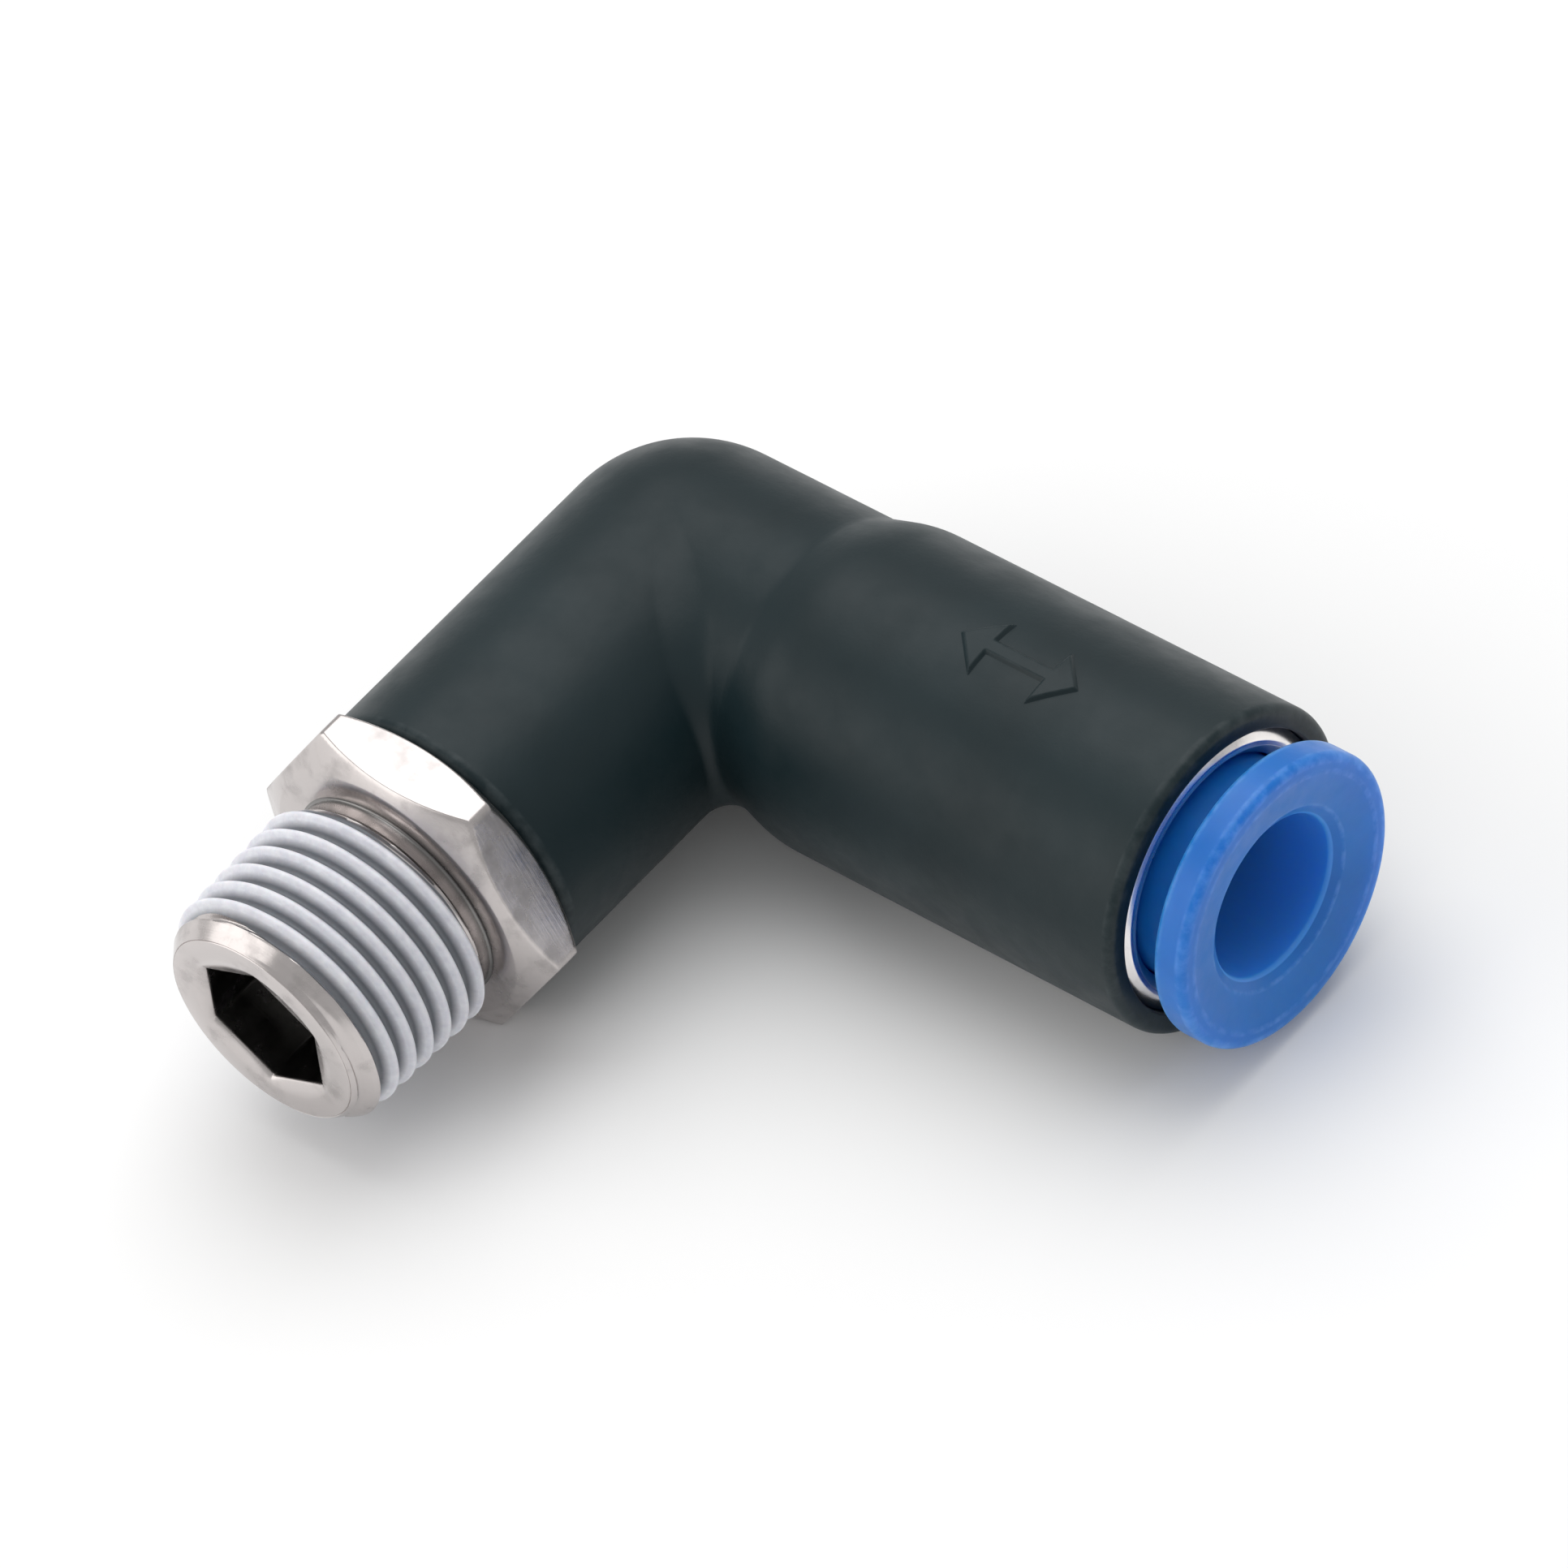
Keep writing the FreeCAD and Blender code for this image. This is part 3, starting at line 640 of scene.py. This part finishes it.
def nickel_material(name, tint, roughness, marks_way):
    """Nickel plate with fine turning marks, small dull patches, and painted shade that makes the hexagon
    socket and inward roundings dark.
    """
    look = Shader(name, tint, metallic=1.0, roughness=roughness)
    clear, dull, rubbed = (tuple(share * part for part in tint) for share in (1.0, 0.7, 1.12))
    patches = look.noise(0.8, 5.0)
    color = look.mix(look.ramp(patches, 0.5, 0.74), clear, dull)
    worn = look.math("MULTIPLY", look.ramp(look.attribute("edge"), 0.3, 1.0), look.noise(2.0, 4.0))
    # Painted shade: where edge is -0.6 or below (hexagon socket, relief fillet, inward roundings) the
    # colour is mixed towards dark grey.
    painted_recess_shade = look.ramp(look.attribute("edge"), -0.6, -1.0)
    look.set("Base Color", look.mix(painted_recess_shade, look.mix(worn, color, rubbed), (0.2, 0.195, 0.19)))
    look.set("Roughness", look.ramp(patches, 0.3, 0.75, roughness, roughness + 0.16))
    marks = look.noise(1.0, 3.0, 0.6, marks_way)
    look.set("Normal", look.bump(marks, 0.0022, 0.9, look.bump(look.noise(3.0, 4.0), 0.002)))
    return look.material


def sealant_material():
    """Dry white sealant with a faint lavender cast, chalky and uneven, with painted shade that turns it
    grey in the valleys.
    """
    look = Shader("dry_sealant", (0.8, 0.8, 0.86), roughness=0.55, Subsurface_Weight=0.08,
                  Subsurface_Scale=0.0002)
    # Painted shade: the thread valleys are mixed towards dark grey.
    painted_valley_shade = look.ramp(look.attribute("edge"), 0.55, -0.2)
    mottled = look.ramp(look.noise(2.2, 5.0), 0.35, 0.7)
    pale = look.mix(mottled, (0.68, 0.68, 0.74), (0.80, 0.80, 0.84))
    look.set("Base Color", look.mix(painted_valley_shade, pale, (0.17, 0.18, 0.20)))
    look.set("Roughness", look.ramp(look.noise(1.6, 4.0), 0.3, 0.7, 0.45, 0.7))
    uneven = look.bump(look.noise(1.3, 3.0), 0.07, 0.8)
    look.set("Normal", look.bump(look.noise(4.5, 5.0), 0.02, 0.8, uneven))
    return look.material


def blue_material():
    """Blue acetal: satin, with faint flow marks and rubbed edges. The bore wall is a lighter blue,
    as if light came through it."""
    look = Shader("blue_acetal", (0.005, 0.16, 0.56), roughness=0.36, Subsurface_Weight=0.8,
                  Subsurface_Scale=0.003, Specular_IOR_Level=0.4)
    look.base.inputs["Subsurface Radius"].default_value = (0.15, 0.5, 1.0)
    clouds = look.ramp(look.noise(0.35, 4.0), 0.3, 0.7)
    base = look.mix(clouds, (0.003, 0.135, 0.45), (0.005, 0.165, 0.53))
    # Painted light: the bore wall, edge -2, is painted a lighter blue.
    painted_bore_light = look.ramp(look.attribute("edge"), -1.2, -1.8)
    base = look.mix(painted_bore_light, base, (0.05, 0.27, 0.72))
    rubbed = look.math("MULTIPLY", look.ramp(look.attribute("edge"), 0.4, 1.0),
                       look.ramp(look.noise(1.8, 4.0), 0.4, 0.7))
    look.set("Base Color", look.mix(look.math("MULTIPLY", rubbed, 0.35), base, (0.16, 0.36, 0.78)))
    look.set("Roughness", look.ramp(look.noise(1.1, 4.0), 0.3, 0.7, 0.28, 0.44))
    look.set("Normal", look.bump(look.noise(7.0, 3.0), 0.003, 1.0, look.bump(look.noise(0.9, 2.0), 0.01)))
    return look.material


def rubber_material():
    """Black rubber with a grey bloom."""
    look = Shader("nitrile_rubber", (0.016, 0.016, 0.017), roughness=0.7)
    bloom = look.ramp(look.noise(1.2, 5.0), 0.45, 0.75)
    look.set("Base Color", look.mix(bloom, (0.014, 0.014, 0.015), (0.045, 0.045, 0.048)))
    look.set("Roughness", look.ramp(look.noise(2.0, 3.0), 0.3, 0.7, 0.6, 0.82))
    look.set("Normal", look.bump(look.noise(8.0, 3.0), 0.006))
    return look.material


def spacer_material():
    """Undyed acetal, slightly translucent and cloudy."""
    look = Shader("natural_acetal", (0.72, 0.70, 0.64), roughness=0.42, Subsurface_Weight=0.1,
                  Subsurface_Scale=0.0006)
    look.set("Base Color", look.mix(look.noise(0.6, 3.0), (0.68, 0.66, 0.60), (0.77, 0.75, 0.69)))
    look.set("Roughness", look.ramp(look.noise(1.5, 3.0), 0.3, 0.7, 0.36, 0.5))
    look.set("Normal", look.bump(look.noise(6.0, 3.0), 0.004))
    return look.material


def claw_material():
    """Spring steel with rolling marks along X."""
    look = Shader("spring_steel", (0.58, 0.58, 0.6), metallic=1.0, roughness=0.3)
    grain = look.noise(1.0, 3.0, 0.6, (0.2, 7.0, 7.0))
    look.set("Base Color", look.mix(look.noise(1.3, 4.0), (0.5, 0.5, 0.52), (0.66, 0.65, 0.64)))
    look.set("Roughness", look.ramp(grain, 0.3, 0.7, 0.24, 0.4))
    look.set("Normal", look.bump(grain, 0.002))
    return look.material


# ---------------------------------------------------------------- putting it together

def dress(piece, material, body, slot, *nodes):
    """Gives a piece its material and body, and lets it stand for CAD nodes; the slot argument is not used.
    """
    piece.data.materials.clear()
    piece.data.materials.append(material)
    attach(piece, body)
    if nodes:
        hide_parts(*nodes)


def repaint(node, material):
    """Gives a CAD node that keeps its shape a procedural material."""
    for holder in frame["nodes"][node].material_slots:
        holder.material = material


def make_pieces():
    marks_about_y, marks_about_x = (0.05, 9.0, 0.05), (9.0, 0.05, 0.05)
    resin = resin_material()
    nickel = nickel_material("nickel_plate", (0.54, 0.505, 0.495), 0.17, marks_about_y)
    guide = nickel_material("guide_plate", (0.84, 0.81, 0.79), 0.14, marks_about_x)
    rubber = rubber_material()
    dress(make_body(), resin, "elbow", "body_resin", "elbow_body")
    dress(make_flow_mark(), resin, "elbow", "body_resin")
    dress(make_stud(), nickel, "stud", "nickel", "threaded_stud")
    dress(make_sealant(), sealant_material(), "stud", "sealant", "thread_sealant")
    dress(make_guide_ring(), guide, "elbow", "nickel", "guide_ring")
    dress(make_release_ring(), blue_material(), "release", "release_blue", "release_ring")
    repaint("swivel_o_ring", rubber)
    repaint("elastic_sleeve", rubber)
    repaint("backing_ring", spacer_material())
    repaint("lock_claws", claw_material())


# ---------------------------------------------------------------- stage, light and camera

CAMERA_RIGHT = Vector((0.755, 0.634, -0.167))
CAMERA_FORWARD = Vector((-0.526, 0.433, -0.732))
WHITE, WARM_WHITE = (1.0, 1.0, 1.0), (1.0, 0.98, 0.96)


def make_camera():
    """Long lens; the elbow's crossing point sits up and left of the middle of the picture."""
    distance, left_of_axis, above_axis = 527.3, 3.24, 6.58
    forward = CAMERA_FORWARD.normalized()
    right = (CAMERA_RIGHT - forward * CAMERA_RIGHT.dot(forward)).normalized()
    up = right.cross(forward)
    camera = bpy.data.objects.new("camera", bpy.data.cameras.new("camera"))
    camera.data.lens = 340.3
    camera.data.sensor_width = 36.0
    camera.data.clip_end = 20.0
    where = Vector(CROSS) + right * left_of_axis - up * above_axis - forward * distance
    turn = Matrix((right, up, -forward)).transposed().to_4x4()
    camera.matrix_world = Matrix.Translation(where * MM) @ turn
    bpy.context.scene.collection.objects.link(camera)
    bpy.context.scene.camera = camera


def make_light(name, toward, distance, size, power, color):
    """Soft square light in a direction seen from the elbow and facing it; metres and watts."""
    light = bpy.data.objects.new(name, bpy.data.lights.new(name, "AREA"))
    light.data.shape = "SQUARE"
    light.data.size = size
    light.data.energy = power
    light.data.color = color
    aim = Vector(toward).normalized()
    light.location = Vector(CROSS) * MM + aim * distance
    light.rotation_euler = aim.to_track_quat("Z", "Y").to_euler()
    bpy.context.scene.collection.objects.link(light)


def make_floor():
    """Pale floor that the elbow lies on; metres."""
    reach, height = 2.0, cad_bounds[0][2]
    corners = [(-reach, -reach), (reach, -reach), (reach, reach), (-reach, reach)]
    mesh = bpy.data.meshes.new("floor")
    mesh.from_pydata([(x, y, height) for x, y in corners], [], [(0, 1, 2, 3)])
    floor = bpy.data.objects.new("floor", mesh)
    bpy.context.scene.collection.objects.link(floor)
    floor.data.materials.append(Shader("pale_floor", (0.93, 0.93, 0.93), roughness=0.9).material)


def make_studio():
    """White surroundings, one window light from the left and one overhead."""
    world = bpy.data.worlds.new("studio")
    bpy.context.scene.world = world
    world.use_nodes = True
    backdrop = world.node_tree.nodes["Background"]
    backdrop.inputs["Color"].default_value = (*WHITE, 1.0)
    backdrop.inputs["Strength"].default_value = 0.58
    bpy.context.scene.view_settings.view_transform = "Standard"
    window_way = -CAMERA_RIGHT - CAMERA_FORWARD * 0.25
    make_light("left_window", window_way, distance=0.4, size=0.36, power=0.58, color=WARM_WHITE)
    make_light("overhead", (-0.2, 0.3, 0.93), distance=0.5, size=0.55, power=1.75, color=WHITE)


make_pieces()
make_camera()
make_floor()
make_studio()
